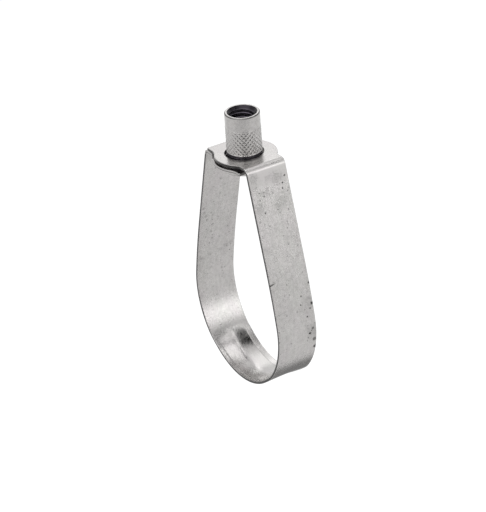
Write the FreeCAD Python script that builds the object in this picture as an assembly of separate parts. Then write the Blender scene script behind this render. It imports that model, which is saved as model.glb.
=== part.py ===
"""Swivel ring hanger for a threaded rod: a strap bent into a drop-shaped ring, and a swivel nut.

Millimetres. +Z is up, Y runs along the pipe and X across the ring. The origin lies on the nut's
axis, level with the top face of the strap's upper layer.
"""
import FreeCAD, Part
import math
import os

V = FreeCAD.Vector

# Strap: one strip of galvanised sheet
SHEET = 0.9
STRIP_WIDTH = 16.0

# Ring: the strip's inside face on a circle, with two legs that lean in above it
RING_INSIDE_RADIUS = 27.5
RING_CENTRE_DROP = 62.2
LEG_LEAN = 14.9
LEG_BOW_RADIUS = 270.0
LEG_BOW_TURN = 4.8

# Forming of the ring's seat: rises towards the pipe of its ridge, its facets' feet and its edges.
# The form sits a little towards -Y on the strip.
SEAT_HALF_ANGLE = 36.0
SEAT_RUNOUT = 8.0
RIDGE_RISE = 1.1
FACET_RISE = 0.45
EDGE_RISE = 0.1
LIP_WIDTH = 2.0
SEAT_SHIFT = -0.5

# Top: the strip's two ends overlap and are pierced for the nut
LAYER_GAP = 1.25
UPPER_SLOPE = 2.0
LOWER_SLOPE = 1.8
UPPER_BEND_INSIDE = 1.5
LOWER_BEND_INSIDE = 0.8
UPPER_REACH = 12.2
LOWER_REACH = 9.4
END_WIDTH = 16.8
EYE_RADIUS = 11.35
EYE_NECK_FILLET = 3.0
EYE_END_FILLET = 5.0
UPPER_EYE_SHIFT = 0.6
LOWER_EYE_SHIFT = 1.1
HOLE_SHIFT = 0.4

# Swivel nut: a turned bar with a tapped bore, a knurled grip, a relief groove and a flange
NUT_DIAMETER = 12.7
NUT_HEIGHT = 16.0
KNURL_TOP = 10.6
KNURL_FOOT = 1.2
KNURL_RISE = 0.07
GROOVE_WIDTH = 0.8
GROOVE_DEPTH = 0.6
FLANGE_DIAMETER = 17.5
FLANGE_THICKNESS = 2.0
RIM_CHAMFER = 0.6
FLANGE_CHAMFER = 0.3
THREAD_MAJOR = 9.525
THREAD_MINOR = 7.94
MOUTH_CLEARANCE = 0.7
FOOT_CHAMFER = 0.7

# Clearances between the nut and the strap
HOLE_CLEARANCE = 0.75
FLANGE_CLEARANCE = 0.1

NUT_RADIUS = NUT_DIAMETER / 2
HOLE_RADIUS = NUT_RADIUS + HOLE_CLEARANCE
RING_CENTRE = V(0, 0, -RING_CENTRE_DROP)
LOWER_TOP = -(SHEET + LAYER_GAP)


def unit(angle):
    """A direction in the XZ plane, at an angle in degrees from +X towards +Z."""
    a = math.radians(angle)
    return V(math.cos(a), 0, math.sin(a))


def closed_face(edges):
    """The flat face inside a closed chain of edges."""
    return Part.Face(Part.Wire(edges))


def strip_section(point, outward):
    """The strip's plain cross-section: inside edge through point, thickness along outward."""
    half = V(0, STRIP_WIDTH / 2, 0)
    thick = outward * SHEET
    corners = [point - half, point + half, point + half + thick, point - half + thick]
    return Part.Face(Part.makePolygon(corners + corners[:1]))


def seat_section(angle, forming):
    """The ring's cross-section at an angle from straight down; forming runs from 0, flat, to 1."""
    outward = unit(angle - 90)
    half = STRIP_WIDTH / 2
    rises = {
        -half: EDGE_RISE,
        SEAT_SHIFT + LIP_WIDTH - half: FACET_RISE,
        SEAT_SHIFT: RIDGE_RISE,
        SEAT_SHIFT + half - LIP_WIDTH: FACET_RISE,
        half: EDGE_RISE,
    }
    inside = []
    outside = []
    for y, rise in rises.items():
        radius = RING_INSIDE_RADIUS - rise * forming
        inside.append(RING_CENTRE + outward * radius + V(0, y, 0))
        outside.append(RING_CENTRE + outward * (radius + SHEET) + V(0, y, 0))
    corners = inside + outside[::-1]
    return Part.makePolygon(corners + corners[:1])


def formed_seat():
    """The bottom of the ring: its formed section swept round, with a run-out to flat at each end."""
    start = Part.Face(seat_section(-SEAT_HALF_ANGLE, 1.0))
    seat = start.revolve(RING_CENTRE, V(0, -1, 0), 2 * SEAT_HALF_ANGLE)
    for side in (-1, 1):
        sections = []
        for share in (0.0, 0.25, 0.5, 0.75, 1.0):
            forming = 0.5 + 0.5 * math.cos(math.pi * share)
            angle = side * (SEAT_HALF_ANGLE + SEAT_RUNOUT * share)
            sections.append(seat_section(angle, forming))
        seat = seat.fuse(Part.makeLoft(sections, True, True))
    return seat


def layer_outline(reach, eye_centre, hole_centre, flat):
    """A pierced end of the strip, from its cut end at -reach to the bend at flat, eye in between.

    Drawn on the XY plane with the nut's axis at X = 0.
    """
    end_half = END_WIDTH / 2
    strip_half = STRIP_WIDTH / 2

    def neck(half_width, fillet, side):
        """Centre of the hollow corner between the eye and a straight edge, and its two ends."""
        rise = half_width + fillet
        run = math.sqrt((EYE_RADIUS + fillet) ** 2 - rise ** 2)
        centre = V(side * run, rise, 0)
        on_eye = centre * (EYE_RADIUS / (EYE_RADIUS + fillet))
        on_edge = V(side * run, half_width, 0)
        middle = (on_eye + on_edge) * 0.5 - centre
        middle = centre + middle * (fillet / middle.Length)
        return on_edge, middle, on_eye

    shift = V(eye_centre, 0, 0)
    end_edge, end_middle, end_eye = [shift + p for p in neck(end_half, EYE_END_FILLET, -1)]
    bend_edge, bend_middle, bend_eye = [shift + p for p in neck(strip_half, EYE_NECK_FILLET, 1)]
    top = shift + V(0, EYE_RADIUS, 0)

    def flip(point):
        return V(point.x, -point.y, 0)

    half = [
        Part.makeLine(V(-reach, end_half, 0), end_edge),
        Part.Arc(end_edge, end_middle, end_eye).toShape(),
        Part.Arc(end_eye, top, bend_eye).toShape(),
        Part.Arc(bend_eye, bend_middle, bend_edge).toShape(),
        Part.makeLine(bend_edge, V(flat, strip_half, 0)),
    ]
    other = [
        Part.makeLine(V(flat, strip_half, 0), V(flat, -strip_half, 0)),
        Part.makeLine(V(flat, -strip_half, 0), flip(bend_edge)),
        Part.Arc(flip(bend_edge), flip(bend_middle), flip(bend_eye)).toShape(),
        Part.Arc(flip(bend_eye), flip(top), flip(end_eye)).toShape(),
        Part.Arc(flip(end_eye), flip(end_middle), flip(end_edge)).toShape(),
        Part.makeLine(flip(end_edge), V(-reach, -end_half, 0)),
        Part.makeLine(V(-reach, -end_half, 0), V(-reach, end_half, 0)),
    ]
    blank = closed_face(half + other).extrude(V(0, 0, -SHEET))
    hole = Part.makeCylinder(HOLE_RADIUS, 4 * SHEET, V(hole_centre, 0, -2 * SHEET))
    return blank.cut(hole)


def strap_side(top, slope, bend_inside, reach, eye_centre, hole_centre):
    """The right half of the strap above the formed seat: ring arc, bowed leg, bend and layer.

    The layer's top face crosses the nut's axis at the height top, and falls towards its cut end
    by slope degrees.
    """
    formed_end = SEAT_HALF_ANGLE + SEAT_RUNOUT
    leg_end = 90 + LEG_LEAN
    bow_start = leg_end - LEG_BOW_TURN
    arc_start = unit(formed_end - 90)
    arc_section = strip_section(RING_CENTRE + arc_start * RING_INSIDE_RADIUS, arc_start)
    side = arc_section.revolve(RING_CENTRE, V(0, -1, 0), bow_start - formed_end)

    # The leg leaves the ring on a wide arc and goes on straight
    bow_normal = unit(bow_start - 90)
    bow_centre = RING_CENTRE + bow_normal * (RING_INSIDE_RADIUS - LEG_BOW_RADIUS)
    bow_section = strip_section(bow_centre + bow_normal * LEG_BOW_RADIUS, bow_normal)
    side = side.fuse(bow_section.revolve(bow_centre, V(0, -1, 0), LEG_BOW_TURN))

    # Outside faces of leg and layer meet in a corner, which the bend rounds off
    normal = unit(LEG_LEAN)
    leg_foot = bow_centre + normal * LEG_BOW_RADIUS
    outside_foot = leg_foot + normal * SHEET
    along_layer = unit(slope)
    axis_point = V(0, 0, top)
    run = (outside_foot - axis_point).dot(normal) / along_layer.dot(normal)
    corner = axis_point + along_layer * run

    turn = 90 - LEG_LEAN + slope
    trim = (bend_inside + SHEET) * math.tan(math.radians(turn / 2))
    leg_up = unit(leg_end)
    leg_length = (corner - outside_foot).Length - trim
    leg_section = strip_section(leg_foot, normal)
    side = side.fuse(leg_section.extrude(leg_up * leg_length))

    bend_start = leg_foot + leg_up * leg_length
    bend_section = strip_section(bend_start, normal)
    side = side.fuse(bend_section.revolve(bend_start - normal * bend_inside, V(0, -1, 0), turn))

    layer = layer_outline(reach, eye_centre, hole_centre, run - trim)
    layer.rotate(V(0, 0, 0), V(0, -1, 0), slope)
    layer.translate(axis_point)
    return side.fuse(layer)


def make_strap():
    """The whole strap as one solid; its lower layer comes from the left leg."""
    right = strap_side(
        0.0, UPPER_SLOPE, UPPER_BEND_INSIDE, UPPER_REACH, UPPER_EYE_SHIFT, -HOLE_SHIFT
    )
    left = strap_side(
        LOWER_TOP, LOWER_SLOPE, LOWER_BEND_INSIDE, LOWER_REACH, LOWER_EYE_SHIFT, HOLE_SHIFT
    )
    left = left.mirror(V(0, 0, 0), V(1, 0, 0))
    return formed_seat().fuse([right, left]).removeSplitter()


def flange_top():
    """Height of the flange's top face, just under the lowest place that the lower layer has over it."""
    slope = math.radians(LOWER_SLOPE)
    underside = LOWER_TOP - SHEET / math.cos(slope)
    return underside - FLANGE_DIAMETER / 2 * math.tan(slope) - FLANGE_CLEARANCE


def make_nut():
    """The swivel nut, turned from a bar; the thread and the knurl's cuts are left as plain walls."""
    bore = THREAD_MINOR / 2
    mouth = (THREAD_MAJOR + 2 * MOUTH_CLEARANCE) / 2
    grip = NUT_RADIUS + KNURL_RISE
    groove = NUT_RADIUS - GROOVE_DEPTH
    flange = FLANGE_DIAMETER / 2
    seat = flange_top()
    base = seat - FLANGE_THICKNESS
    outline = [
        (bore, base + FOOT_CHAMFER),
        (bore + FOOT_CHAMFER, base),
        (flange - FLANGE_CHAMFER, base),
        (flange, base + FLANGE_CHAMFER),
        (flange, seat - FLANGE_CHAMFER),
        (flange - FLANGE_CHAMFER, seat),
        (NUT_RADIUS, seat),
        (NUT_RADIUS, KNURL_FOOT - GROOVE_WIDTH),
        (groove, KNURL_FOOT - GROOVE_WIDTH),
        (groove, KNURL_FOOT),
        (grip, KNURL_FOOT),
        (grip, KNURL_TOP - KNURL_RISE),
        (NUT_RADIUS, KNURL_TOP),
        (NUT_RADIUS, NUT_HEIGHT - RIM_CHAMFER),
        (NUT_RADIUS - RIM_CHAMFER, NUT_HEIGHT),
        (mouth, NUT_HEIGHT),
        (bore, NUT_HEIGHT - (mouth - bore)),
    ]
    points = [V(radius, 0, height) for radius, height in outline]
    return Part.Face(Part.makePolygon(points + points[:1])).revolve(V(0, 0, 0), V(0, 0, 1), 360)


def save(name, shape):
    """Checks that the shape is one closed solid, and writes it."""
    solid = shape.Solids[0]
    if len(shape.Solids) != 1 or not solid.isValid():
        raise RuntimeError(name + " is not one valid solid")
    solid.exportStep("parts/" + name + ".step")
    print(name, "volume", round(solid.Volume, 1), "mm3")


os.makedirs("parts", exist_ok=True)
save("strap", make_strap())
save("swivel_nut", make_nut())
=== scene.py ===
"""Looks of the swivel ring hanger: a galvanised strap ring and its knurled swivel nut.

Sizes are in millimetres and angles in degrees, and the studio's places in metres. The frame is the
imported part's: +Z up along the nut, Y along the pipe, X across the ring, and the origin on the
nut's axis, level with the top face of the strap's upper layer.
"""
import math

import bpy
import numpy as np
from mathutils import Matrix, Vector


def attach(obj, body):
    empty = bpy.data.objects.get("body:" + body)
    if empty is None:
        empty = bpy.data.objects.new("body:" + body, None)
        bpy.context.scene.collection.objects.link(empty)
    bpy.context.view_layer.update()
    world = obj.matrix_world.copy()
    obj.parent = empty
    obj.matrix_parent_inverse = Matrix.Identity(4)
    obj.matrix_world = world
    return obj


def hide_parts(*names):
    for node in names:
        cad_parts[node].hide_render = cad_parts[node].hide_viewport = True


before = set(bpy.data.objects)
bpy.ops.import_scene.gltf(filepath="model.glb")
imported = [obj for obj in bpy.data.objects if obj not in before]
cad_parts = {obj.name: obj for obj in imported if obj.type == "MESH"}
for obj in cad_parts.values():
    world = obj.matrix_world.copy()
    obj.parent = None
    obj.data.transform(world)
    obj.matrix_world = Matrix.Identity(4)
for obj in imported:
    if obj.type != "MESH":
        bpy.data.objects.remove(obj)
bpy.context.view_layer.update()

MM = 0.001

# Strap: the band and its legs
SHEET = 0.9
BURR = 0.12
STRIP_WIDTH = 16.0
RING_INSIDE_RADIUS = 27.5
RING_CENTRE = np.array((0.0, -62.2))
LEG_LEAN = 14.9
LEG_BOW_RADIUS = 270.0
LEG_BOW_TURN = 4.8
PATH_SPARE = 1.0

# Strap: the formed seat, a ridge with a facet to each side and a lip along each edge
SEAT_HALF_ANGLE = 36.0
SEAT_RUNOUT = 13.0
SEAT_SHIFT = -0.5
RIDGE_HALF_ANGLE = 35.0
RIDGE_RUNOUT = 17.0
RIDGE_RISE = 1.1
RIDGE_ROUNDING = 0.95
RIDGE_END_ROUNDING = 2.2
RIDGE_STEADY_SHARE = 0.7
FACET_RISE = 0.45
EDGE_RISE = 0.33
LIP_WIDTH = 2.0

# Strap: the pierced ends. Each layer gives the height of its top face on the axis, its slope, the
# inside radius of its bend, its reach past the axis, and where its round eye and its hole lie.
HOLE_RADIUS = 7.1
END_WIDTH = 16.8
END_CORNER = 0.5
EYE_RADIUS = 11.35
EYE_NECK_FILLET = 3.0
EYE_END_FILLET = 5.0
UPPER = dict(top=0.0, slope=2.0, bend_inside=1.5, reach=12.2, eye=0.6, hole=-0.4)
LOWER = dict(top=-2.15, slope=1.8, bend_inside=0.8, reach=9.4, eye=1.1, hole=0.4)

# Strap: how its mesh is divided. The rings of an end draw together towards the hole, and its neck
# starts a little before the fillet does.
PATH_STEP = 0.1
STRIP_COLUMNS = 49
STRIP_STEP = 0.5
BEND_STATIONS = 24
LAYER_STATIONS = 4
END_RINGS = 14
RING_CROWDING = 0.85
NECK_SPARE = 0.25
WELD_REACH = 0.01

# Swivel nut: turned outside
NUT_RADIUS = 6.35
NUT_HEIGHT = 16.0
RIM_CHAMFER = 0.3
GROOVE_WIDTH = 0.8
GROOVE_DEPTH = 0.6
FLANGE_RADIUS = 8.75
FLANGE_TOP = -3.425
FLANGE_FOOT = -5.425
FLANGE_CHAMFER = 0.3
FLANGE_ROUNDING = 0.08
COLLAR_ROUNDING = 0.06

# Swivel nut: knurled grip. The steps are the mesh's columns for each of the crossed cuts.
KNURL_TOP = 10.6
KNURL_FOOT = 1.2
KNURL_RISE = 0.07
KNURL_STARTS = 23
KNURL_STEPS = 12
KNURL_DEPTH = 0.16
KNURL_HALF_WIDTH = 0.29
KNURL_FACING = -30.302
KNURL_PHASES = (0.12, -0.055)
KNURL_FOOT_FADE = 0.35
KNURL_TOP_FADE = 0.6
KNURL_FOOT_MARGIN = 0.1
KNURL_TOP_MARGIN = 0.05

# Swivel nut: tapped bore. The flat and the flank's end are shares of the pitch.
BORE_RADIUS = 3.97
THREAD_DEPTH = 0.7925
THREAD_PITCH = 1.5875
THREAD_FLAT = 0.125
THREAD_FLANK_END = 0.413
THREAD_ROWS = 10
MOUTH_RADIUS = 5.4625
FOOT_CHAMFER = 0.7

# Marks on the outside of the right leg: along the strip, across it, radius, darkness
PITS = [
    (42.8, 5.2, 0.4, 1), (99.9, 5.2, 0.28, 1), (98, 4.8, 0.26, 0.94), (96.6, 6.6, 0.24, 0.81),
    (91.2, -3.9, 0.28, 0.94), (97.2, -3, 0.28, 0.61), (102.2, 6.6, 0.28, 0.81),
    (57.7, 3.6, 0.28, 0.81), (54.6, 2.9, 0.28, 0.81), (52.3, 6.5, 0.26, 0.81),
    (49.5, 4.8, 0.28, 0.94), (61.7, 7.7, 0.37, 0.81), (53.9, 7.4, 0.47, 0.94),
    (44.5, 6.5, 0.47, 0.68), (39.8, 7.1, 0.66, 0.68), (36.3, 7.7, 0.66, 0.81),
    (52.5, 1.2, 0.24, 0.54), (85.8, 4.1, 0.24, 0.54), (77.6, 2.7, 0.24, 0.47),
    (59.7, -0.9, 0.24, 0.41), (41.4, -2.8, 0.24, 0.41),
]
BLOTCHES = [
    (93.6, 4.6, 1.4, 0.22), (92.0, 2.1, 1.5, 0.18), (94.9, 5.5, 1.2, 0.18),
    (98.0, -1.3, 1.2, 0.16), (98.7, -3.6, 1.2, 0.18), (104.5, -6.0, 1.5, 0.22),
    (92.9, -6.1, 1.4, 0.18), (80.2, 5.7, 1.1, 0.12), (72.1, 4.2, 1.0, 0.1),
    (78.0, -5.9, 1.3, 0.12), (102.6, 3.6, 1.9, 0.2), (103.1, -0.5, 0.9, 0.14),
    (43.0, 7.0, 2.4, 0.2), (54.5, 6.5, 2.0, 0.16),
]
# The same on the inside of the left leg
INSIDE_MARKS = [
    (-90.4, -0.7, 0.4, 0.22), (-86.9, 1.5, 0.35, 0.25), (-83.2, -0.3, 0.4, 0.2),
    (-78.3, -7.1, 0.5, 0.25), (-76.0, -6.4, 0.5, 0.22), (-74.0, -5.7, 0.5, 0.22),
    (-72.1, -5.0, 0.5, 0.25), (-73.6, -2.7, 0.35, 0.25), (-72.0, -0.1, 0.35, 0.22),
    (-69.1, -2.2, 0.35, 0.28), (-65.8, 4.3, 0.35, 0.25), (-65.8, -2.8, 0.35, 0.25),
    (-63.7, -5.0, 0.4, 0.22), (-62.5, -2.2, 0.35, 0.25), (-61.9, 1.0, 0.35, 0.22),
    (-60.5, -3.3, 0.35, 0.22), (-57.6, 6.3, 0.7, 0.14), (-56.8, 4.0, 0.8, 0.12),
    (-55.8, 1.7, 0.8, 0.14), (-54.9, -2.5, 0.8, 0.1), (-54.2, -6.6, 0.7, 0.16),
    (-46.9, 2.6, 0.35, 0.22), (-46.1, -3.5, 0.35, 0.2), (-42.8, 2.6, 0.35, 0.2),
]
# Scratches across the outside of the right leg: start, end, width at the start, darkness
SCRATCHES = [((65.1, -8.2), (65.7, -5.2), 0.75, 1.0), ((53.6, -6.5), (54.6, 0.6), 0.12, 0.25)]
# Share of its radius at which a mark has half faded
MARK_SPREAD = 1.15

# Zinc: where one finish fades into the next, along the strip from the ring's lowest point. The
# first pair is where the painted shade in the seat's creases fades out.
CREASE_SHADE_END = (14.0, 21.0)
BURNISHED_END = (20.0, 27.0)
SEAT_CALM_END = (24.0, 40.0)
TOP_CALM_START = (101.0, 105.0)
BEND_ROUGH_START = (100.0, 102.0)
BEND_ROUGH_END = (104.0, 108.0)
LOWER_LAYER_START = -104.0

# Zinc: its grey, what each pattern adds to it, its green and blue shares, and its roughness
ZINC_GREY = 0.49
MOTTLE_SHARE, CLOUD_SHARE, GRAIN_SHARE, STREAK_SHARE = 0.03, 0.045, 0.02, 0.02
ZINC_GREENS = (0.96, 0.985)
ZINC_BLUE = 0.957
ZINC_ROUGHNESS, BURNISHED_ROUGHNESS = 0.26, 0.13
BEND_ROUGHER = 0.1
MARK_ROUGHER = 0.3
MARK_SINK = -6.0

# Cut edges: how far off the sheet's middle the zinc gives way to steel, the steel's grey, darker
# than steel's own as painted shade, and where on the lower layer's edge a painted highlight gives
# way to painted shade
CUT_EDGE = (0.43, 0.36)
STEEL_AND_SHADE_GREY = 0.05
EDGE_HIGHLIGHT_END = (0.1, 0.28)
EDGE_HIGHLIGHT_AND_SHADE_GREYS = (0.4, 0.04)

# Plate: its greys and roughness, and the bore's painted shade: the radius where it starts, how
# far in it is full, and its greys, from a radius of their own to the thread's inner one, where
# the crests get a painted glint
PLATE_GREYS = (0.42, 0.5)
PLATE_ROUGHNESS = 0.25
BORE_SHADE_RADIUS = 5.46
BORE_SHADE_FADE = 0.06
BORE_SHADE_GREYS = (0.026, 0.08)
BORE_SHADE_GREY_RADIUS = 4.6

# Camera: its turn, the photo's frame in pixels, the scale at the origin in pixels to the
# millimetre, where the origin lies in the frame, and how far the camera stands off and above it
CAMERA_AZIMUTH, CAMERA_ELEVATION, CAMERA_ROLL = 59.698, 28.375, 4.047
FRAME_WIDTH, FRAME_HEIGHT = 486, 512
CAMERA_SCALE = 2.8197
ORIGIN_X, ORIGIN_Y = 244.657, 150.930
CAMERA_DISTANCE = 961.957
CAMERA_LIFT = 0.4
SENSOR = 36

# Studio: place, aim, size and radiance of each soft box, and the same with a grey for each card
LAMPS = {
    "overhead": ((-0.14, 0.1, 0.5), (-0.14, 0.1, 0), (0.5, 0.19), 1.05),
    "back strip": ((-0.03, 0.29, 0.5), (-0.03, 0.29, 0), (0.27, 0.065), 1.1),
    "back patch": ((0.15, 0.285, 0.5), (0.15, 0.285, 0), (0.18, 0.07), 2.0),
    "left back": ((-0.75, 0.62, 0.5), (-0.75, 0.62, 0), (0.9, 0.42), 0.6),
    "left top": ((-0.8, 0.45, 0.49), (-0.8, 0.45, 0), (0.34, 0.16), 0.6),
    "right back": ((0.56, 0.31, 0.17), (0, 0, -0.08), (0.24, 0.28), 1.3),
    "right front": ((0.59, 0.055, 0.37), (0, 0, 0), (0.32, 0.22), 1.8),
    "front top": ((0.08, -0.22, 0.5), (0.08, -0.22, 0), (0.6, 0.42), 1.3),
    "left front": ((0.2, -0.56, 0.33), (0, 0, 0), (0.54, 0.2), 2.0),
}
CARDS = {
    "back flag": ((0.03, 0.53, 0.5), (0.03, 0.53, 0), (0.24, 0.37), 0.0),
    "middle flag": ((-0.15, 0.225, 0.5), (-0.15, 0.225, 0), (0.4, 0.06), 0.1),
    "near flag": ((0.28, 0.23, 0.49), (0.28, 0.23, 0), (0.4, 0.09), 0.0),
    "left flag": ((-0.83, 0.225, 0.5), (-0.83, 0.225, 0), (0.36, 0.29), 0.4),
    "camera flag": ((0.456, -0.266, 0.285), (0, 0, 0), (0.18, 0.2), 0.05),
    "room flag": ((0.51, -0.31, 0.035), (0, 0, 0.035), (1.2, 0.3), 0.03),
    "under flag": ((-0.03, 0.075, -0.2), (-0.03, 0.075, 0), (0.12, 0.11), 0.3),
    "low left flag": ((-0.145, 0.085, -0.2), (-0.145, 0.085, 0), (0.1, 0.13), 0.55),
}
FLOOR_HALF_WIDTH = 1500
FLOOR_HEIGHT = -600


# Meshes

def new_object(name, vertices, faces):
    """An object at the origin from points in millimetres."""
    mesh = bpy.data.meshes.new(name)
    mesh.from_pydata((np.asarray(vertices, float) * MM).tolist(), [], faces)
    mesh.update()
    obj = bpy.data.objects.new(name, mesh)
    bpy.context.scene.collection.objects.link(obj)
    return obj


def made_plain(obj, name):
    """A plain mesh object of what obj's modifiers make; obj itself is removed."""
    depsgraph = bpy.context.evaluated_depsgraph_get()
    mesh = bpy.data.meshes.new_from_object(
        obj.evaluated_get(depsgraph), preserve_all_data_layers=True, depsgraph=depsgraph)
    bpy.data.objects.remove(obj)
    mesh.name = name
    plain = bpy.data.objects.new(name, mesh)
    bpy.context.scene.collection.objects.link(plain)
    return plain


# Node trees

class Tree:
    """Adds nodes to a node tree. A socket given as a value is linked, anything else is set."""

    def __init__(self, tree):
        self.tree = tree

    def put(self, socket, value):
        if isinstance(value, bpy.types.NodeSocket):
            self.tree.links.new(value, socket)
        else:
            socket.default_value = value

    def add(self, kind, inputs=None, **settings):
        made = self.tree.nodes.new(kind)
        for name, value in settings.items():
            setattr(made, name, value)
        for name, value in (inputs or {}).items():
            self.put(made.inputs[name], value)
        return made

    def math(self, operation, *values, clamp=False):
        made = self.tree.nodes.new("ShaderNodeMath")
        made.operation = operation
        made.use_clamp = clamp
        for socket, value in zip(made.inputs, values):
            self.put(socket, value)
        return made.outputs[0]

    def vector_math(self, operation, *values, out=0):
        made = self.tree.nodes.new("ShaderNodeVectorMath")
        made.operation = operation
        for socket, value in zip(made.inputs, values):
            self.put(socket, value)
        return made.outputs[out]

    def ramp(self, value, low, high, to_low=0.0, to_high=1.0, kind="LINEAR"):
        """Takes value from low..high to to_low..to_high and holds it at the ends."""
        made = self.tree.nodes.new("ShaderNodeMapRange")
        made.interpolation_type = kind
        for socket, number in zip(made.inputs, (value, low, high, to_low, to_high)):
            self.put(socket, number)
        return made.outputs[0]

    def combine(self, x, y, z):
        return self.add("ShaderNodeCombineXYZ", {"X": x, "Y": y, "Z": z}).outputs[0]

    def separate(self, vector):
        return self.add("ShaderNodeSeparateXYZ", {"Vector": vector}).outputs

    def scale(self, vector, share):
        return self.add("ShaderNodeVectorMath", {"Vector": vector, "Scale": share},
                        operation="SCALE").outputs[0]

    def hypotenuse(self, a, b):
        return self.math("SQRT", self.math("ADD", self.math("MULTIPLY", a, a),
                                           self.math("MULTIPLY", b, b)))


def geometry_tree(name, sizes, others=()):
    """A geometry node tree with inputs for the mesh, the material, the others and each size."""
    group = bpy.data.node_groups.new(name, "GeometryNodeTree")
    kinds = [("Mesh", "Geometry"), ("Material", "Material"), *others]
    kinds += [(size, "Float") for size in sizes]
    for socket, kind in kinds:
        group.interface.new_socket(socket, in_out="INPUT", socket_type="NodeSocket" + kind)
    group.interface.new_socket("Mesh", in_out="OUTPUT", socket_type="NodeSocketGeometry")
    tree = Tree(group)
    return tree, tree.add("NodeGroupInput").outputs


def finish_tree(tree, mesh, material):
    """Ends a geometry tree in Realize Instances and Set Material."""
    real = tree.add("GeometryNodeRealizeInstances", {"Geometry": mesh})
    painted = tree.add("GeometryNodeSetMaterial",
                       {"Geometry": real.outputs[0], "Material": material})
    output = tree.add("NodeGroupOutput")
    tree.put(output.inputs[0], painted.outputs[0])


def give_tree(obj, tree, values):
    """Puts the tree on obj, and sets its inputs by their identifiers."""
    modifier = obj.modifiers.new("shape", "NODES")
    modifier.node_group = tree.tree
    for item in tree.tree.interface.items_tree:
        if item.in_out == "INPUT" and item.name in values:
            modifier[item.identifier] = values[item.name]


# The strap's path and blank

def unit(angle):
    """A direction in the XZ plane, at an angle in degrees from +X towards +Z."""
    return np.array((math.cos(math.radians(angle)), math.sin(math.radians(angle))))


def side_path(layer):
    """Middle line of the strap's right half, from straight down to just past its cut end.

    Gives its points in the XZ plane, its length up to the bend, the bend's length, and the
    length along the layer from the bend to the nut's axis.
    """
    half = SHEET / 2
    bow_angle = 90 + LEG_LEAN - LEG_BOW_TURN
    bow_centre = RING_CENTRE + unit(bow_angle - 90) * (RING_INSIDE_RADIUS - LEG_BOW_RADIUS)
    normal = unit(LEG_LEAN)
    outside_foot = bow_centre + normal * (LEG_BOW_RADIUS + SHEET)
    along = unit(layer["slope"])
    axis_point = np.array((0.0, layer["top"]))
    run = (outside_foot - axis_point) @ normal / (along @ normal)
    corner = axis_point + along * run
    turn = 90 - LEG_LEAN + layer["slope"]
    trim = (layer["bend_inside"] + SHEET) * math.tan(math.radians(turn / 2))
    leg = np.linalg.norm(corner - outside_foot) - trim
    leg_foot = bow_centre + normal * (LEG_BOW_RADIUS + half)
    bend_radius = layer["bend_inside"] + half
    bend_centre = leg_foot + unit(90 + LEG_LEAN) * leg - normal * bend_radius

    def arc(centre, radius, start, end):
        count = max(8, int(math.radians(end - start) * radius / PATH_STEP))
        return [centre + unit(a - 90) * radius for a in np.linspace(start, end, count + 1)]

    points = arc(RING_CENTRE, RING_INSIDE_RADIUS + half, 0, bow_angle)
    points += arc(bow_centre, LEG_BOW_RADIUS + half, bow_angle, 90 + LEG_LEAN)[1:]
    points += arc(bend_centre, bend_radius, 90 + LEG_LEAN, 90 + LEG_LEAN + turn)
    level = run - trim + layer["reach"] + PATH_SPARE
    points.append(points[-1] + unit(180 + layer["slope"]) * level)
    up_to_bend = (math.radians(bow_angle) * (RING_INSIDE_RADIUS + half)
                  + math.radians(LEG_BOW_TURN) * (LEG_BOW_RADIUS + half) + leg)
    return points, up_to_bend, math.radians(turn) * bend_radius, run - trim


def fillet_centre(half_width, fillet):
    """How far along the strip, and across it, a fillet's centre lies from the eye's."""
    across = half_width + fillet
    return math.sqrt((EYE_RADIUS + fillet) ** 2 - across ** 2), across


def eye_outline(layer, neck):
    """Half outline of a pierced end, from the strip's edge at the neck to the cut end's middle."""
    def arc(centre, radius, start, end, count):
        angles = np.radians(np.linspace(start, end, count))
        return [(centre[0] + radius * math.cos(a), centre[1] + radius * math.sin(a))
                for a in angles]

    shift = layer["eye"]
    strip_half, end_half = STRIP_WIDTH / 2, END_WIDTH / 2
    along, across = fillet_centre(strip_half, EYE_NECK_FILLET)
    turn = math.degrees(math.atan2(across, along))
    points = [(neck, strip_half)]
    points += arc((shift + along, across), EYE_NECK_FILLET, 270, 180 + turn, 12)
    along, across = fillet_centre(end_half, EYE_END_FILLET)
    end_turn = math.degrees(math.atan2(across, along))
    points += arc((shift, 0.0), EYE_RADIUS, turn, 180 - end_turn, 60)[1:]
    points += arc((shift - along, across), EYE_END_FILLET, -end_turn, -90, 12)[1:]
    stop = -layer["reach"] + END_CORNER
    last = points[-1][0]
    points += [(x, end_half) for x in np.linspace(last, stop, 5)[1:]]
    points += arc((stop, end_half - END_CORNER), END_CORNER, 90, 180, 6)[1:]
    points += [(-layer["reach"], y) for y in np.linspace(end_half - END_CORNER, 0, 14)[1:]]
    return points


def pierced_end(layer, neck, columns):
    """Points and quads of a flat pierced end: columns are the places across the neck."""
    half = eye_outline(layer, neck)
    outline = half + [(x, -y) for x, y in half[-2::-1]]
    outline += [(neck, y) for y in columns[1:-1]]
    outline = np.array(outline)
    centre = np.array((layer["hole"], 0.0))
    away = outline - centre
    rim = centre + away / np.linalg.norm(away, axis=1)[:, None] * HOLE_RADIUS
    points, quads, count = [], [], len(outline)
    for ring in range(END_RINGS + 1):
        share = (ring / END_RINGS) ** RING_CROWDING
        points += (outline * (1 - share) + rim * share).tolist()
    for ring in range(END_RINGS):
        for i in range(count):
            j = (i + 1) % count
            a, b = ring * count, (ring + 1) * count
            quads.append((a + i, a + j, b + j, b + i))
    return points, quads


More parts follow.
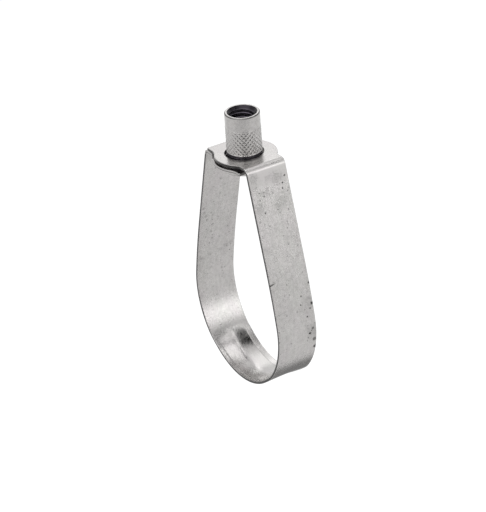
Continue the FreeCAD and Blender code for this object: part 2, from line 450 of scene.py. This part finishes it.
def strap_blank():
    """The flat pierced strip, the path that it is bent along, and where on it the strip's X is 0.

    X runs along the strip from the ring's lowest point, Y across it, Z towards the pipe.
    """
    right, right_leg, right_bend, right_flat = side_path(UPPER)
    left, left_leg, left_bend, left_flat = side_path(LOWER)
    path = [(-x, z) for x, z in left[::-1]] + [tuple(p) for p in right[1:]]
    columns = np.linspace(-STRIP_WIDTH / 2, STRIP_WIDTH / 2, STRIP_COLUMNS)

    def stations(leg, bend, flat):
        """Places along one half of the band, close together round the bend."""
        return np.concatenate([
            np.linspace(0, leg, int(leg / STRIP_STEP) + 1),
            np.linspace(leg, leg + bend, BEND_STATIONS)[1:],
            np.linspace(leg + bend, leg + bend + flat, LAYER_STATIONS)[1:],
        ])

    vertices, faces = [], []

    def join(points, quads):
        base = len(vertices)
        vertices.extend((x, y, 0.0) for x, y in points)
        faces.extend(tuple(base + i for i in quad) for quad in quads)

    necks = {}
    for side, layer, leg, bend, flat in ((1, UPPER, right_leg, right_bend, right_flat),
                                         (-1, LOWER, left_leg, left_bend, left_flat)):
        fillet_foot = fillet_centre(STRIP_WIDTH / 2, EYE_NECK_FILLET)[0]
        neck = layer["eye"] + fillet_foot + NECK_SPARE
        axis = leg + bend + flat
        points, quads = pierced_end(layer, neck, columns)
        if side > 0:
            quads = [quad[::-1] for quad in quads]
        join([(side * (axis - x), y) for x, y in points], quads)
        necks[side] = stations(leg, bend, flat - neck)
    along = np.concatenate([-necks[-1][::-1], necks[1][1:]])
    wide = len(columns)
    band = [(x, y) for x in along for y in columns]
    join(band, [(i * wide + j, (i + 1) * wide + j, (i + 1) * wide + j + 1, i * wide + j + 1)
                for i in range(len(along) - 1) for j in range(wide - 1)])
    obj = new_object("strap_blank", vertices, faces)
    weld = obj.modifiers.new("weld", "WELD")
    weld.merge_threshold = WELD_REACH * MM
    sheet = obj.modifiers.new("sheet", "SOLIDIFY")
    sheet.thickness = SHEET * MM
    sheet.offset = 0
    bevel = obj.modifiers.new("burr", "BEVEL")
    bevel.width = BURR * MM
    bevel.segments = 2
    bevel.limit_method = "ANGLE"
    bevel.angle_limit = math.radians(50)
    start = left_leg + left_bend + left_flat + LOWER["reach"] + PATH_SPARE
    return made_plain(obj, "strap_flat"), path, start


def path_object(path):
    """The bending path as a curve in the XZ plane."""
    data = bpy.data.curves.new("bending_path", "CURVE")
    data.dimensions = "3D"
    spline = data.splines.new("POLY")
    spline.points.add(len(path) - 1)
    for point, (x, z) in zip(spline.points, path):
        point.co = (x * MM, 0, z * MM, 1)
    obj = bpy.data.objects.new("bending_path", data)
    bpy.context.scene.collection.objects.link(obj)
    return obj


def bending_tree():
    """Forms the seat into the flat strip, then bends the strip along the path."""
    tree, given = geometry_tree("bend strap", [
        "Path start", "Seat length", "Run-out", "Ridge length", "Ridge run-out", "Ridge rise",
        "Facet rise", "Edge rise", "Lip width", "Seat shift", "Strip half width",
        "Ridge rounding", "Ridge end rounding", "Ridge steady share"], [("Path", "Object")])
    place = tree.add("GeometryNodeInputPosition").outputs[0]
    kept = tree.add("GeometryNodeStoreNamedAttribute",
                    {"Geometry": given["Mesh"], "Name": "strip"},
                    data_type="FLOAT_VECTOR", domain="POINT")
    tree.put(kept.inputs["Value"], tree.scale(place, 1 / MM))
    along, across, inward = tree.separate(place)
    run = tree.math("ABSOLUTE", along)

    def forming(length, runout):
        """Share of the forming at a place along the strip."""
        return tree.ramp(run, given[length], tree.math("ADD", given[length], given[runout]),
                         1.0, 0.0, "SMOOTHSTEP")

    from_ridge = tree.math("SUBTRACT", across, given["Seat shift"])
    steady = tree.math("MULTIPLY", given["Ridge length"], given["Ridge steady share"])
    ended = tree.math("ADD", given["Ridge length"], given["Ridge run-out"])
    rounding = tree.ramp(run, steady, ended, given["Ridge rounding"], given["Ridge end rounding"])
    side = tree.hypotenuse(from_ridge, rounding)
    inner = tree.math("SUBTRACT", given["Strip half width"], given["Lip width"])
    edge = tree.math("SUBTRACT", given["Strip half width"], tree.math(
        "MULTIPLY", tree.math("SIGN", from_ridge), given["Seat shift"]))
    ridge = tree.ramp(side, 0.0, inner, tree.math(
        "SUBTRACT", given["Ridge rise"], given["Facet rise"]), 0.0)
    facet = tree.ramp(side, inner, edge, given["Facet rise"], given["Edge rise"])
    rise = tree.math("ADD",
                     tree.math("MULTIPLY", ridge, forming("Ridge length", "Ridge run-out")),
                     tree.math("MULTIPLY", facet, forming("Seat length", "Run-out")))
    height = tree.math("ADD", inward, rise)
    path = tree.add("GeometryNodeObjectInfo", {"Object": given["Path"]},
                    transform_space="ORIGINAL").outputs["Geometry"]
    sample = tree.add("GeometryNodeSampleCurve", {"Curves": path}, mode="LENGTH",
                      use_all_curves=False)
    tree.put(sample.inputs["Length"], tree.math("ADD", along, given["Path start"]))
    towards = tree.vector_math("NORMALIZE", tree.vector_math(
        "CROSS_PRODUCT", sample.outputs["Tangent"], (0, 1, 0)))
    offset = tree.vector_math("ADD", tree.scale(towards, height), tree.combine(0.0, across, 0.0))
    moved = tree.vector_math("ADD", sample.outputs["Position"], offset)
    bent = tree.add("GeometryNodeSetPosition",
                    {"Geometry": kept.outputs[0], "Position": moved})
    finish_tree(tree, bent.outputs[0], given["Material"])
    return tree


def build_strap(material):
    """The finished strap: the pierced blank, formed and bent."""
    flat, path, start = strap_blank()
    curve = path_object(path)
    per_degree = math.radians(1) * (RING_INSIDE_RADIUS + SHEET / 2) * MM
    give_tree(flat, bending_tree(), {
        "Material": material, "Path": curve, "Path start": start * MM,
        "Seat length": SEAT_HALF_ANGLE * per_degree, "Run-out": SEAT_RUNOUT * per_degree,
        "Ridge length": RIDGE_HALF_ANGLE * per_degree,
        "Ridge run-out": RIDGE_RUNOUT * per_degree, "Ridge rise": RIDGE_RISE * MM,
        "Facet rise": FACET_RISE * MM, "Edge rise": EDGE_RISE * MM, "Lip width": LIP_WIDTH * MM,
        "Seat shift": SEAT_SHIFT * MM, "Strip half width": STRIP_WIDTH / 2 * MM,
        "Ridge rounding": RIDGE_ROUNDING * MM, "Ridge end rounding": RIDGE_END_ROUNDING * MM,
        "Ridge steady share": RIDGE_STEADY_SHARE})
    strap = made_plain(flat, "galvanised_strap")
    bpy.data.objects.remove(curve)
    strap.data.shade_smooth()
    return strap


# The swivel nut

def turned_profile():
    """Closed outline of the nut as (radius, height) rows, outside upwards and bore downwards.

    The knurl's rows lie as far apart as its columns, and go through the points where its cuts
    cross. Gives the rows too that the knurl and the bore start at, and how many they have.
    """
    step = 2 * math.pi * NUT_RADIUS / KNURL_STARTS / KNURL_STEPS
    crossing = (KNURL_PHASES[0] - KNURL_PHASES[1]) / 2
    first = crossing + math.ceil((KNURL_FOOT + KNURL_FOOT_MARGIN - crossing) / step) * step
    knurl = np.arange(first, KNURL_TOP - KNURL_TOP_MARGIN, step)
    grip = NUT_RADIUS + KNURL_RISE
    groove = NUT_RADIUS - GROOVE_DEPTH

    def soft(before, corner, after, radius, count=3):
        """A corner rounded by a short arc."""
        before, corner, after = map(np.array, (before, corner, after))
        one = (before - corner) / np.linalg.norm(before - corner)
        two = (after - corner) / np.linalg.norm(after - corner)
        start, end = corner + one * radius, corner + two * radius
        shares = np.linspace(0, 1, count + 1)
        return [tuple((1 - t) ** 2 * start + 2 * t * (1 - t) * corner + t * t * end)
                for t in shares]

    def rounded(points, radius):
        """The line through the points, with all its corners rounded."""
        out = [points[0]]
        for a, b, c in zip(points, points[1:], points[2:]):
            out += soft(a, b, c, radius)
        return out + [points[-1]]

    flange = rounded([
        (BORE_RADIUS + FOOT_CHAMFER + 0.6, FLANGE_FOOT),
        (FLANGE_RADIUS - FLANGE_CHAMFER, FLANGE_FOOT),
        (FLANGE_RADIUS, FLANGE_FOOT + FLANGE_CHAMFER),
        (FLANGE_RADIUS, FLANGE_TOP - FLANGE_CHAMFER),
        (FLANGE_RADIUS - FLANGE_CHAMFER, FLANGE_TOP),
        (NUT_RADIUS, FLANGE_TOP),
        (NUT_RADIUS, KNURL_FOOT - GROOVE_WIDTH),
        (groove, KNURL_FOOT - GROOVE_WIDTH),
        (groove, KNURL_FOOT),
        (grip, KNURL_FOOT),
        (grip, knurl[0] - 0.02)], FLANGE_ROUNDING)
    collar = rounded([
        (grip, knurl[-1] + 0.02),
        (grip, KNURL_TOP - KNURL_RISE),
        (NUT_RADIUS, KNURL_TOP),
        (NUT_RADIUS, NUT_HEIGHT - RIM_CHAMFER),
        (NUT_RADIUS - RIM_CHAMFER, NUT_HEIGHT),
        (MOUTH_RADIUS, NUT_HEIGHT),
        (MOUTH_RADIUS - 0.3, NUT_HEIGHT - 0.3)], COLLAR_ROUNDING)
    bore_top = NUT_HEIGHT - 0.5
    bore_foot = FLANGE_FOOT + 0.2
    bore_rows = np.arange(bore_top, bore_foot, -THREAD_PITCH / THREAD_ROWS)
    bore = [(BORE_RADIUS, z) for z in bore_rows]
    foot = [(BORE_RADIUS + FOOT_CHAMFER - 0.1, FLANGE_FOOT + 0.1),
            (BORE_RADIUS + FOOT_CHAMFER, FLANGE_FOOT + 0.01)]
    rows = flange + [(grip, z) for z in knurl] + collar + bore + foot
    return rows, len(flange), len(knurl), len(flange) + len(knurl) + len(collar), len(bore)


def turned_blank():
    """The nut as a closed turned mesh, its columns in step with the knurl."""
    rows, knurl_first, knurl_count, bore_first, bore_count = turned_profile()
    columns = KNURL_STARTS * KNURL_STEPS
    first = math.radians(KNURL_FACING) + sum(KNURL_PHASES) / 2 / NUT_RADIUS
    angles = first + np.arange(columns) * 2 * math.pi / columns
    vertices = [(r * math.cos(a), r * math.sin(a), z) for r, z in rows for a in angles]
    count = len(rows)
    faces = []
    for i in range(count):
        for j in range(columns):
            a, b = i * columns, (i + 1) % count * columns
            k = (j + 1) % columns
            faces.append((a + j, a + k, b + k, b + j))
    obj = new_object("nut_blank", vertices, faces)
    # 1 marks the grip's rows, 2 the bore's
    skin = np.zeros(len(vertices), np.float32)
    skin[knurl_first * columns:(knurl_first + knurl_count) * columns] = 1
    skin[bore_first * columns:(bore_first + bore_count) * columns] = 2
    obj.data.attributes.new("skin", "FLOAT", "POINT").data.foreach_set("value", skin)
    return obj


def cutting_tree():
    """Rolls the crossed knurl into the grip and taps the bore."""
    tree, given = geometry_tree("knurl and tap", [
        "Facing", "Grip radius", "Starts", "Knurl depth", "Knurl half width", "Knurl foot",
        "Knurl top", "Rising phase", "Falling phase", "Foot fade", "Top fade", "Bore radius",
        "Thread depth", "Thread pitch", "Thread flat", "Thread flank end", "Mouth radius",
        "Nut height", "Nut foot", "Foot radius"])
    place = tree.add("GeometryNodeInputPosition").outputs[0]
    skin = tree.add("GeometryNodeInputNamedAttribute", {"Name": "skin"},
                    data_type="FLOAT").outputs["Attribute"]
    x, y, z = tree.separate(place)
    angle = tree.math("ARCTAN2", y, x)
    radius = tree.hypotenuse(x, y)
    pitch = tree.math("DIVIDE", tree.math("MULTIPLY", given["Grip radius"], 2 * math.pi),
                      given["Starts"])
    arc = tree.math("MULTIPLY", tree.math("SUBTRACT", angle, given["Facing"]),
                    given["Grip radius"])

    def off_middle(turn):
        """How far a number of turns is from a whole one."""
        return tree.math("ABSOLUTE", tree.math("SUBTRACT", turn, tree.math("ROUND", turn)))

    def groove(sign, phase):
        """Depth share of one family of slanting cuts."""
        along = tree.math("SUBTRACT", tree.math("MULTIPLY_ADD", z, sign, arc), phase)
        off = tree.math("MULTIPLY", off_middle(tree.math("DIVIDE", along, pitch)), pitch)
        off = tree.math("DIVIDE", off, math.sqrt(2))
        return tree.ramp(off, 0.0, given["Knurl half width"], 1.0, 0.0)

    cut = tree.math("MAXIMUM", groove(1.0, given["Rising phase"]),
                    groove(-1.0, given["Falling phase"]))
    foot_end = tree.math("ADD", given["Knurl foot"], given["Foot fade"])
    top_end = tree.math("SUBTRACT", given["Knurl top"], given["Top fade"])
    fade = tree.math("MULTIPLY", tree.ramp(z, given["Knurl foot"], foot_end),
                     tree.ramp(z, top_end, given["Knurl top"], 1.0, 0.0))
    cut = tree.math("MULTIPLY", cut, fade)
    knurled = tree.math("SUBTRACT", radius, tree.math("MULTIPLY", cut, given["Knurl depth"]))
    turn = tree.math("SUBTRACT", tree.math("DIVIDE", z, given["Thread pitch"]),
                     tree.math("DIVIDE", angle, 2 * math.pi))
    depth = tree.ramp(off_middle(turn), given["Thread flat"], given["Thread flank end"],
                      0.0, given["Thread depth"])
    threaded = tree.math("ADD", given["Bore radius"], depth)
    mouth = tree.math("SUBTRACT", given["Mouth radius"],
                      tree.math("SUBTRACT", given["Nut height"], z))
    foot = tree.math("SUBTRACT", given["Foot radius"],
                     tree.math("SUBTRACT", z, given["Nut foot"]))
    tapped = tree.math("MAXIMUM", threaded, tree.math("MAXIMUM", mouth, foot))
    is_knurl = tree.math("COMPARE", skin, 1.0, 0.4)
    is_bore = tree.math("COMPARE", skin, 2.0, 0.4)
    chosen = tree.math("ADD", tree.math("MULTIPLY", is_knurl, knurled),
                       tree.math("MULTIPLY", is_bore, tapped))
    rest = tree.math("SUBTRACT", 1.0, tree.math("ADD", is_knurl, is_bore))
    chosen = tree.math("ADD", chosen, tree.math("MULTIPLY", rest, radius))
    share = tree.math("DIVIDE", chosen, radius)
    moved = tree.combine(tree.math("MULTIPLY", x, share), tree.math("MULTIPLY", y, share), z)
    # The depth share of the cuts, which the nut's material turns into painted shade
    kept = tree.add("GeometryNodeStoreNamedAttribute",
                    {"Geometry": given["Mesh"], "Name": "cut"},
                    data_type="FLOAT", domain="POINT")
    tree.put(kept.inputs["Value"], tree.math("MULTIPLY", is_knurl, cut))
    shaped = tree.add("GeometryNodeSetPosition", {"Geometry": kept.outputs[0], "Position": moved})
    finish_tree(tree, shaped.outputs[0], given["Material"])
    return tree


def build_nut(material):
    """The finished nut: the turned blank, knurled and tapped."""
    blank = turned_blank()
    give_tree(blank, cutting_tree(), {
        "Material": material, "Facing": math.radians(KNURL_FACING),
        "Grip radius": NUT_RADIUS * MM, "Starts": float(KNURL_STARTS),
        "Knurl depth": KNURL_DEPTH * MM, "Knurl half width": KNURL_HALF_WIDTH * MM,
        "Knurl foot": KNURL_FOOT * MM, "Knurl top": KNURL_TOP * MM,
        "Rising phase": KNURL_PHASES[0] * MM, "Falling phase": KNURL_PHASES[1] * MM,
        "Foot fade": KNURL_FOOT_FADE * MM, "Top fade": KNURL_TOP_FADE * MM,
        "Bore radius": BORE_RADIUS * MM, "Thread depth": THREAD_DEPTH * MM,
        "Thread pitch": THREAD_PITCH * MM, "Thread flat": THREAD_FLAT,
        "Thread flank end": THREAD_FLANK_END, "Mouth radius": MOUTH_RADIUS * MM,
        "Nut height": NUT_HEIGHT * MM, "Nut foot": FLANGE_FOOT * MM,
        "Foot radius": (BORE_RADIUS + FOOT_CHAMFER) * MM})
    nut = made_plain(blank, "knurled_swivel_nut")
    nut.data.shade_smooth()
    return nut


# Finishes

def new_material(name):
    """A material with its tree and its Principled shader."""
    material = bpy.data.materials.new(name)
    material.use_nodes = True
    return material, Tree(material.node_tree), material.node_tree.nodes["Principled BSDF"]


def noise(tree, place, scale, detail=3.0, rough=0.6, low=0.3, high=0.7, to_low=-1.0, to_high=1.0):
    """Noise whose part from low to high is stretched to to_low..to_high."""
    made = tree.add("ShaderNodeTexNoise", {"Vector": place, "Scale": scale, "Detail": detail,
                                           "Roughness": rough})
    return tree.ramp(made.outputs[0], low, high, to_low, to_high)


def wandered(tree, place, scale, detail, reach):
    """The place moved at random, along and across the strip, by up to half of reach."""
    drift = tree.add("ShaderNodeTexNoise", {"Vector": place, "Scale": scale, "Detail": detail})
    centred = tree.vector_math("SUBTRACT", drift.outputs["Color"], (0.5, 0.5, 0.5))
    moved = tree.vector_math("MULTIPLY", centred, (reach, reach, 0.0))
    return tree.vector_math("ADD", place, moved)


def spots(tree, place, marks, soft, face=-SHEET / 2):
    """Darkness of round marks on one face; soft is the share of the radius that fades."""
    darkest = 0.0
    for along, across, radius, darkness in marks:
        away = tree.vector_math("DISTANCE", place, (along, across, face), out=1)
        mark = tree.ramp(away, radius * (MARK_SPREAD + soft), radius * (MARK_SPREAD - soft),
                         0.0, darkness, "SMOOTHSTEP")
        darkest = tree.math("MAXIMUM", darkest, mark)
    return darkest


def scratch(tree, x, y, start, end, wide, darkness, tip=0.02):
    """A straight scratch across the strip, from start to end, that narrows to its tip."""
    slope = (end[0] - start[0]) / (end[1] - start[1])
    centre = tree.math("MULTIPLY_ADD", tree.math("SUBTRACT", y, start[1]), slope, start[0])
    away = tree.math("ABSOLUTE", tree.math("SUBTRACT", x, centre))
    half = tree.ramp(y, start[1], end[1], wide, tip)
    line = tree.math("SUBTRACT", 1.0, tree.math("DIVIDE", away, half), clamp=True)
    ends = tree.math("LESS_THAN", y, end[1])
    return tree.math("MULTIPLY", tree.math("MULTIPLY", line, ends), darkness)


def crease_shade(tree, run, y, across, darkness, wide=0.35):
    """Painted shade along the line where the seat's facet meets its lip, on one side."""
    away = tree.math("ABSOLUTE", tree.math("SUBTRACT", y, across))
    line = tree.ramp(away, wide, 0.0, 0.0, darkness, "SMOOTHSTEP")
    return tree.math("MULTIPLY", line, tree.ramp(run, *CREASE_SHADE_END, 1.0, 0.0))


def zinc_marks(tree, strip, mottle, plain):
    """Darkness of the zinc's marks, and painted shade in the creases; plain is the share of specks
    at a place.
    """
    x, y, z = tree.separate(strip)
    run = tree.math("ABSOLUTE", x)
    ragged = wandered(tree, strip, scale=2.5, detail=2.0, reach=0.9)
    pits = tree.math("MAXIMUM", spots(tree, ragged, PITS, soft=0.35),
                     spots(tree, ragged, INSIDE_MARKS, soft=0.6, face=SHEET / 2))
    patchy = noise(tree, strip, 2.2, rough=0.7, low=0.42, high=0.62, to_low=0.3, to_high=1.7)
    blurred = wandered(tree, strip, scale=0.9, detail=3.0, reach=7.0)
    blotches = tree.math("MULTIPLY", patchy, spots(tree, blurred, BLOTCHES, soft=0.8))

    # One speck at most in each cell, more and darker ones in the blotches
    cells = tree.add("ShaderNodeTexVoronoi", {"Vector": ragged, "Scale": 0.8})
    chance = tree.separate(cells.outputs["Color"])[0]
    size = tree.ramp(chance, 0.5, 1.0, 0.0, 0.27)
    speck = tree.math("MULTIPLY", tree.math("LESS_THAN", cells.outputs["Distance"], size),
                      tree.math("MULTIPLY_ADD", blotches, 2.4,
                                tree.ramp(mottle, -0.2, 0.8, 0.42, 0.1)))
    speck = tree.math("MULTIPLY", speck, plain)

    outside = tree.math("LESS_THAN", z, 0.0)
    scratches = [tree.math("MULTIPLY", outside, scratch(tree, x, y, *each)) for each in SCRATCHES]
    border = STRIP_WIDTH / 2 - LIP_WIDTH
    # Real marks, and painted shade along the seat's two creases
    darkening = blotches
    for mark in (pits, speck, *scratches, crease_shade(tree, run, y, SEAT_SHIFT - border, 0.3),
                 crease_shade(tree, run, y, SEAT_SHIFT + border, 0.2)):
        darkening = tree.math("MAXIMUM", darkening, mark)
    return darkening


def galvanised():
    """Mottled zinc on the sheet's faces, steel on its cut edges, and painted light and shade on
    both.
    """
    material, tree, shader = new_material("galvanised_sheet")
    strip = tree.add("ShaderNodeAttribute", attribute_name="strip").outputs["Vector"]
    x, y, z = tree.separate(strip)
    run = tree.math("ABSOLUTE", x)
    seat = tree.ramp(run, *BURNISHED_END, 1.0, 0.0)
    below_top = tree.ramp(run, *TOP_CALM_START, 1.0, 0.1)
    # Share of the mottling that shows
    calm = tree.math("MULTIPLY", below_top, tree.ramp(run, *SEAT_CALM_END, 0.45, 1.0))

    rolled = tree.combine(tree.math("MULTIPLY", x, 0.4), y, tree.math("MULTIPLY", z, 3.0))
    drawn = tree.combine(tree.math("MULTIPLY", x, 0.07), y, z)
    mottle = noise(tree, rolled, 0.35, detail=4.0)
    grain = noise(tree, strip, 3.5, detail=2.0, rough=0.7)
    cloud = noise(tree, strip, 0.9, rough=0.55)
    streak = noise(tree, drawn, 1.6)
    tone = tree.math("MULTIPLY", mottle, MOTTLE_SHARE)
    for part, share in ((cloud, CLOUD_SHARE), (grain, GRAIN_SHARE), (streak, STREAK_SHARE)):
        tone = tree.math("MULTIPLY_ADD", part, share, tone)
    zinc = tree.math("ADD", ZINC_GREY, tree.math("MULTIPLY", tone, calm))

    plain = tree.math("MULTIPLY", below_top, tree.math("SUBTRACT", 1.0, seat))
    darkening = zinc_marks(tree, strip, mottle, plain)
    # Steel on the cut edges, its grey painted darker than steel's own as painted shade
    cut = tree.ramp(tree.math("ABSOLUTE", z), *CUT_EDGE)
    # A painted highlight on the upper part of the lower layer's edge, and painted shade below it
    lower_layer = tree.math("LESS_THAN", x, LOWER_LAYER_START)
    steel_and_painted_light = tree.math("MULTIPLY", lower_layer, tree.ramp(z, *EDGE_HIGHLIGHT_END, *EDGE_HIGHLIGHT_AND_SHADE_GREYS))
    steel_and_painted_light = tree.math("MAXIMUM", steel_and_painted_light, STEEL_AND_SHADE_GREY)
    dark = tree.math("MAXIMUM", darkening, cut)
    level = tree.math("ADD", tree.math("MULTIPLY", zinc, tree.math("SUBTRACT", 1.0, dark)),
                      tree.math("MULTIPLY", dark, steel_and_painted_light))
    green = tree.ramp(noise(tree, rolled, 0.22), -1.0, 1.0, *ZINC_GREENS)
    tree.put(shader.inputs["Base Color"], tree.add(
        "ShaderNodeCombineColor", {"Red": level, "Green": tree.math("MULTIPLY", level, green),
                                   "Blue": tree.math("MULTIPLY", level, ZINC_BLUE)}).outputs[0])
    shader.inputs["Metallic"].default_value = 1.0

    # The tool has burnished the seat, and the bend is the roughest
    bend = tree.math("MULTIPLY", tree.ramp(run, *BEND_ROUGH_START, 0.0, BEND_ROUGHER),
                     tree.ramp(run, *BEND_ROUGH_END, 1.0, 0.2))
    burnished = tree.ramp(seat, 0.0, 1.0, ZINC_ROUGHNESS, BURNISHED_ROUGHNESS)
    finish = tree.math("MULTIPLY_ADD", mottle, 0.03, tree.math("ADD", burnished, bend))
    tree.put(shader.inputs["Roughness"], tree.math("MULTIPLY_ADD", darkening, MARK_ROUGHER, finish))
    height = tree.math("MULTIPLY_ADD", darkening, MARK_SINK, tree.math("MULTIPLY", grain, calm))
    bump = tree.add("ShaderNodeBump", {"Height": height, "Strength": 0.12, "Distance": 0.0001})
    tree.put(shader.inputs["Normal"], bump.outputs[0])
    return material


def plated():
    """Bright zinc plate on the turned nut, with painted shade in the bore, the relief, the knurl's
    cuts and on the rim chamfer.
    """
    material, tree, shader = new_material("plated_nut")
    place = tree.add("ShaderNodeTexCoord").outputs["Object"]
    x, y, z = tree.separate(place)
    radius = tree.hypotenuse(x, y)
    # Painted shade over the bore and mouth, above the nut's foot
    within_mouth = tree.ramp(radius, BORE_SHADE_RADIUS * MM,
                             (BORE_SHADE_RADIUS - BORE_SHADE_FADE) * MM)
    above_foot = tree.ramp(z, (FLANGE_FOOT + 0.01) * MM, (FLANGE_FOOT + 0.05) * MM)
    bore = tree.math("MULTIPLY", within_mouth, above_foot)
    # Painted shade in the relief groove under the knurl, down to the flange's top
    below_knurl = tree.ramp(z, (KNURL_FOOT - 0.05) * MM, (KNURL_FOOT - 0.2) * MM, 0.0, 0.85)
    above_flange = tree.ramp(z, (FLANGE_TOP - 0.4) * MM, (FLANGE_TOP - 0.3) * MM)
    relief = tree.math("MULTIPLY", below_knurl, above_flange)
    # Painted shade in the knurl's cuts, by their depth
    cut = tree.add("ShaderNodeAttribute", attribute_name="cut").outputs["Fac"]
    cut = tree.math("MULTIPLY", tree.ramp(cut, 0.6, 1.0), 0.3)
    # All the nut's painted shade
    darkening = tree.math("MAXIMUM", tree.math("MAXIMUM", bore, relief), cut)

    # The greys of the painted shade, lightest at the thread's crests as a painted glint
    dark = tree.ramp(radius, BORE_SHADE_GREY_RADIUS * MM, BORE_RADIUS * MM, *BORE_SHADE_GREYS)
    fine = tree.add("ShaderNodeTexNoise", {"Vector": place, "Scale": 900.0, "Detail": 3.0})
    bright = tree.ramp(fine.outputs[0], 0.3, 0.7, *PLATE_GREYS)
    level = tree.math("ADD", tree.math("MULTIPLY", bright, tree.math("SUBTRACT", 1.0, darkening)),
                      tree.math("MULTIPLY", darkening, dark))
    # The rim chamfer is painted darker, as painted shade
    corner = NUT_RADIUS + NUT_HEIGHT - RIM_CHAMFER
    chamfer = tree.ramp(tree.math("ADD", radius, z), (corner - 0.1) * MM, (corner - 0.03) * MM,
                        1.0, 0.3)
    level = tree.math("MULTIPLY", level, chamfer)
    # The painted shade leans a little to purple
    tree.put(shader.inputs["Base Color"], tree.add("ShaderNodeCombineColor", {
        "Red": level,
        "Green": tree.math("MULTIPLY", level, tree.ramp(darkening, 0.5, 1.0, 0.975, 0.9)),
        "Blue": tree.math("MULTIPLY", level, tree.ramp(darkening, 0.5, 1.0, 0.957, 1.08)),
    }).outputs[0])
    shader.inputs["Metallic"].default_value = 1.0
    shader.inputs["Roughness"].default_value = PLATE_ROUGHNESS
    return material


# Studio

def shown_white(tree, plain, camera, mirrored):
    """One shader for the camera, one for rays that mirror or pass through, plain for the rest."""
    ray = tree.add("ShaderNodeLightPath").outputs
    mirror = tree.math("MAXIMUM", ray["Is Glossy Ray"], ray["Is Transmission Ray"])
    seen = plain
    for share, shader in ((mirror, mirrored), (ray["Is Camera Ray"], camera)):
        mix = tree.add("ShaderNodeMixShader", {0: share})
        tree.put(mix.inputs[1], seen)
        tree.put(mix.inputs[2], shader)
        seen = mix.outputs[0]
    return seen


def flat_sheet(name, half_wide, half_high, height=0):
    """A level rectangle."""
    corners = [(-half_wide, -half_high, height), (half_wide, -half_high, height),
               (half_wide, half_high, height), (-half_wide, half_high, height)]
    return new_object(name, corners, [(0, 1, 2, 3)])


def build_floor():
    """A wide pale floor well under the hanging ring, which keeps its shadow."""
    floor = flat_sheet("floor", FLOOR_HALF_WIDTH, FLOOR_HALF_WIDTH, FLOOR_HEIGHT)
    material, tree, shader = new_material("floor")
    shader.inputs["Base Color"].default_value = (0.82, 0.82, 0.82, 1)
    shader.inputs["Roughness"].default_value = 0.9
    shader.inputs["Specular IOR Level"].default_value = 0.0
    glow = tree.add("ShaderNodeEmission", {"Color": (1, 1, 1, 1), "Strength": 0.3})
    lit = tree.add("ShaderNodeAddShader")
    tree.put(lit.inputs[0], shader.outputs[0])
    tree.put(lit.inputs[1], glow.outputs[0])
    white = tree.add("ShaderNodeEmission", {"Color": (1, 1, 1, 1), "Strength": 1.0})
    output = material.node_tree.nodes["Material Output"]
    tree.put(output.inputs["Surface"],
             shown_white(tree, shader.outputs[0], lit.outputs[0], white.outputs[0]))
    floor.data.materials.append(material)


def build_world():
    """White where it is seen or mirrored, and a soft even light on everything else."""
    world = bpy.data.worlds.new("studio")
    bpy.context.scene.world = world
    world.use_nodes = True
    tree = Tree(world.node_tree)
    soft = world.node_tree.nodes["Background"]
    soft.inputs["Color"].default_value = (1, 1, 1, 1)
    soft.inputs["Strength"].default_value = 0.85
    white = tree.add("ShaderNodeBackground", {"Color": (1, 1, 1, 1), "Strength": 1.0})
    output = world.node_tree.nodes["World Output"]
    tree.put(output.inputs["Surface"],
             shown_white(tree, soft.outputs[0], white.outputs[0], white.outputs[0]))


def aim(obj, place, target):
    """Puts obj at place and turns its -Z towards target."""
    obj.location = place
    obj.rotation_mode = "QUATERNION"
    obj.rotation_quaternion = (Vector(target) - Vector(place)).to_track_quat("-Z", "Y")


def build_lamp(name, place, target, size, radiance):
    """A soft box: a plane of even brightness."""
    data = bpy.data.lights.new(name, "AREA")
    data.shape = "RECTANGLE"
    data.size, data.size_y = size
    data.energy = radiance * math.pi * size[0] * size[1]
    lamp = bpy.data.objects.new(name, data)
    bpy.context.scene.collection.objects.link(lamp)
    aim(lamp, place, target)


def build_card(name, place, target, size, grey):
    """A card that only reflections show, to give the bright metal something dark to mirror."""
    card = flat_sheet(name, size[0] / 2 / MM, size[1] / 2 / MM)
    aim(card, place, target)
    material, tree, shader = new_material(name)
    shade = tree.add("ShaderNodeEmission", {"Color": (grey, grey, grey, 1), "Strength": 1.0})
    tree.put(material.node_tree.nodes["Material Output"].inputs["Surface"], shade.outputs[0])
    card.data.materials.append(material)
    card.visible_camera = False
    card.visible_diffuse = False
    card.visible_shadow = False


def build_camera():
    """A long lens, high on the right, as in the photo."""
    azimuth, elevation, roll = map(math.radians, (CAMERA_AZIMUTH, CAMERA_ELEVATION, CAMERA_ROLL))
    right = Vector((math.cos(azimuth), math.sin(azimuth), 0))
    back = Vector((math.sin(azimuth) * math.cos(elevation),
                   -math.cos(azimuth) * math.cos(elevation), math.sin(elevation)))
    up = back.cross(right)
    x_axis = right * math.cos(roll) - up * math.sin(roll)
    y_axis = right * math.sin(roll) + up * math.cos(roll)
    place = (back * CAMERA_DISTANCE - x_axis * (ORIGIN_X - FRAME_WIDTH / 2) / CAMERA_SCALE
             + y_axis * (ORIGIN_Y - FRAME_HEIGHT / 2) / CAMERA_SCALE
             + Vector((0, 0, CAMERA_LIFT)))
    data = bpy.data.cameras.new("camera")
    data.sensor_width = SENSOR
    data.lens = CAMERA_SCALE * CAMERA_DISTANCE * SENSOR / FRAME_HEIGHT
    data.clip_end = 10
    camera = bpy.data.objects.new("camera", data)
    bpy.context.scene.collection.objects.link(camera)
    turn = Matrix((x_axis, y_axis, back)).transposed().to_4x4()
    camera.matrix_world = Matrix.Translation(place * MM) @ turn
    bpy.context.scene.camera = camera


strap = build_strap(galvanised())
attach(strap, "ring")
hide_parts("strap")

nut = build_nut(plated())
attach(nut, "nut")
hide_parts("swivel_nut")

build_floor()
build_world()
for name, values in LAMPS.items():
    build_lamp(name, *values)
for name, values in CARDS.items():
    build_card(name, *values)
build_camera()
bpy.context.scene.view_settings.view_transform = "Standard"
